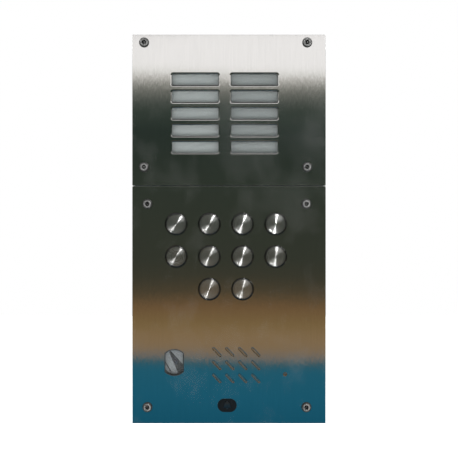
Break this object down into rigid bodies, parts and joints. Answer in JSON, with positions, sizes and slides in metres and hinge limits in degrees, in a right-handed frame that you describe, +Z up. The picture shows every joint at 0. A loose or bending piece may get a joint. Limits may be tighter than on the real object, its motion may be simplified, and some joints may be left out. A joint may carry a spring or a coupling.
{
  "type": "door intercom panel",
  "caption": "Wall-mounted door intercom panel with brushed steel plates, name windows, push buttons, camera window and speech grille.",
  "frame": {"origin": "centre of the wall box's back, on the wall", "axes": "+X to the right seen from the front, +Y into the wall, +Z up; the front faces -Y"},
  "size_m": [0.185, 0.0518, 0.3718],
  "materials": {
    "plate_steel": "stainless steel, fine vertical brushed grain",
    "button_steel": "stainless steel, faces spun in fine rings, polished chamfer",
    "screw_steel": "bright stainless steel fastener",
    "box_zinc": "zinc-coated sheet steel with a faint spangle",
    "nut_zinc": "zinc-plated steel, dull",
    "foam_black": "closed-cell foam, dull",
    "rubber_black": "moulded rubber, dull",
    "earth_brass": "turned brass",
    "clear_sheet": "clear polycarbonate sheet, polished",
    "opal_moulding": "translucent opal moulding",
    "card": "blank grey card, matt",
    "board_green": "green solder mask over copper tracks",
    "lamp_body": "moulded lamp body with a yellow lens",
    "moulding_black": "black moulded plastic, fine texture",
    "spring_wire": "drawn spring wire, bright",
    "mesh_steel": "perforated stainless sheet, bright",
    "cone_paper": "pressed paper, dull",
    "magnet_ferrite": "sintered ferrite, dark grey",
    "capsule_metal": "drawn aluminium can",
    "hood_grey": "light grey moulded plastic, satin",
    "bracket_metal": "black powder-coated sheet",
    "lens_glass": "dark coated lens in a black barrel",
    "terminal_green": "green screw-terminal moulding",
    "rotor_white": "white moulded rotor with a screwdriver slot",
    "badge_dark": "dark enamelled plaque with a plain bell outline"
  },
  "bodies": {
    "root": {"audio_board": "board_green", "audio_components": "moulding_black", "back_box": "box_zinc", "backlight_board": "board_green", "backlight_leds": "lamp_body", "badge": "badge_dark", "board_spacers": "nut_zinc", "button_10_spring": "spring_wire", "button_1_spring": "spring_wire", "button_2_spring": "spring_wire", "button_3_spring": "spring_wire", "button_4_spring": "spring_wire", "button_5_spring": "spring_wire", "button_6_spring": "spring_wire", "button_7_spring": "spring_wire", "button_8_spring": "spring_wire", "button_9_spring": "spring_wire", "button_carrier": "moulding_black", "cable_grommet": "rubber_black", "camera_bracket": "bracket_metal", "camera_hood": "hood_grey", "camera_pane": "clear_sheet", "camera_pivot_screws": "screw_steel", "card_holder": "opal_moulding", "clinch_nuts": "nut_zinc", "directory_gasket": "foam_black", "directory_plate": "plate_steel", "directory_plate_screws": "screw_steel", "directory_studs": "screw_steel", "earth_stud": "earth_brass", "key_switches": "moulding_black", "keypad_board": "board_green", "microphone_boot": "rubber_black", "microphone_capsule": "capsule_metal", "name_cards": "card", "speaker_cone": "cone_paper", "speaker_frame": "moulding_black", "speaker_magnet": "magnet_ferrite", "speaker_mesh": "mesh_steel", "speech_gasket": "foam_black", "speech_plate": "plate_steel", "speech_plate_screws": "screw_steel", "speech_studs": "screw_steel", "stud_nuts": "nut_zinc", "terminal_block": "terminal_green", "window_pane": "clear_sheet"},
    "button_1": {"button_1": "button_steel"},
    "button_2": {"button_2": "button_steel"},
    "button_3": {"button_3": "button_steel"},
    "button_4": {"button_4": "button_steel"},
    "button_5": {"button_5": "button_steel"},
    "button_6": {"button_6": "button_steel"},
    "button_7": {"button_7": "button_steel"},
    "button_8": {"button_8": "button_steel"},
    "button_9": {"button_9": "button_steel"},
    "button_10": {"button_10": "button_steel"},
    "camera": {"camera_body": "moulding_black", "camera_lens": "lens_glass"},
    "volume_rotor": {"volume_rotor": "rotor_white"}
  },
  "joints": [
    {"name": "button_1_press", "type": "slide", "parent": "root", "child": "button_1", "axis": [0, 1, 0], "range_m": [0, 0.0018], "stiffness_N_per_m": 500, "springref_m": -0.003, "deforming": ["button_1_spring"]},
    {"name": "button_2_press", "type": "slide", "parent": "root", "child": "button_2", "axis": [0, 1, 0], "range_m": [0, 0.0018], "stiffness_N_per_m": 500, "springref_m": -0.003, "deforming": ["button_2_spring"]},
    {"name": "button_3_press", "type": "slide", "parent": "root", "child": "button_3", "axis": [0, 1, 0], "range_m": [0, 0.0018], "stiffness_N_per_m": 500, "springref_m": -0.003, "deforming": ["button_3_spring"]},
    {"name": "button_4_press", "type": "slide", "parent": "root", "child": "button_4", "axis": [0, 1, 0], "range_m": [0, 0.0018], "stiffness_N_per_m": 500, "springref_m": -0.003, "deforming": ["button_4_spring"]},
    {"name": "button_5_press", "type": "slide", "parent": "root", "child": "button_5", "axis": [0, 1, 0], "range_m": [0, 0.0018], "stiffness_N_per_m": 500, "springref_m": -0.003, "deforming": ["button_5_spring"]},
    {"name": "button_6_press", "type": "slide", "parent": "root", "child": "button_6", "axis": [0, 1, 0], "range_m": [0, 0.0018], "stiffness_N_per_m": 500, "springref_m": -0.003, "deforming": ["button_6_spring"]},
    {"name": "button_7_press", "type": "slide", "parent": "root", "child": "button_7", "axis": [0, 1, 0], "range_m": [0, 0.0018], "stiffness_N_per_m": 500, "springref_m": -0.003, "deforming": ["button_7_spring"]},
    {"name": "button_8_press", "type": "slide", "parent": "root", "child": "button_8", "axis": [0, 1, 0], "range_m": [0, 0.0018], "stiffness_N_per_m": 500, "springref_m": -0.003, "deforming": ["button_8_spring"]},
    {"name": "button_9_press", "type": "slide", "parent": "root", "child": "button_9", "axis": [0, 1, 0], "range_m": [0, 0.0018], "stiffness_N_per_m": 500, "springref_m": -0.003, "deforming": ["button_9_spring"]},
    {"name": "button_10_press", "type": "slide", "parent": "root", "child": "button_10", "axis": [0, 1, 0], "range_m": [0, 0.0018], "stiffness_N_per_m": 500, "springref_m": -0.003, "deforming": ["button_10_spring"]},
    {"name": "camera_tilt", "type": "hinge", "parent": "root", "child": "camera", "pos_m": [-0.0524, -0.027, -0.1277], "axis": [1, 0, 0], "range_deg": [-12, 12]},
    {"name": "volume_turn", "type": "hinge", "parent": "root", "child": "volume_rotor", "pos_m": [-0.011, -0.0124, -0.1222], "axis": [0, 1, 0], "range_deg": [0, 270]}
  ]
}
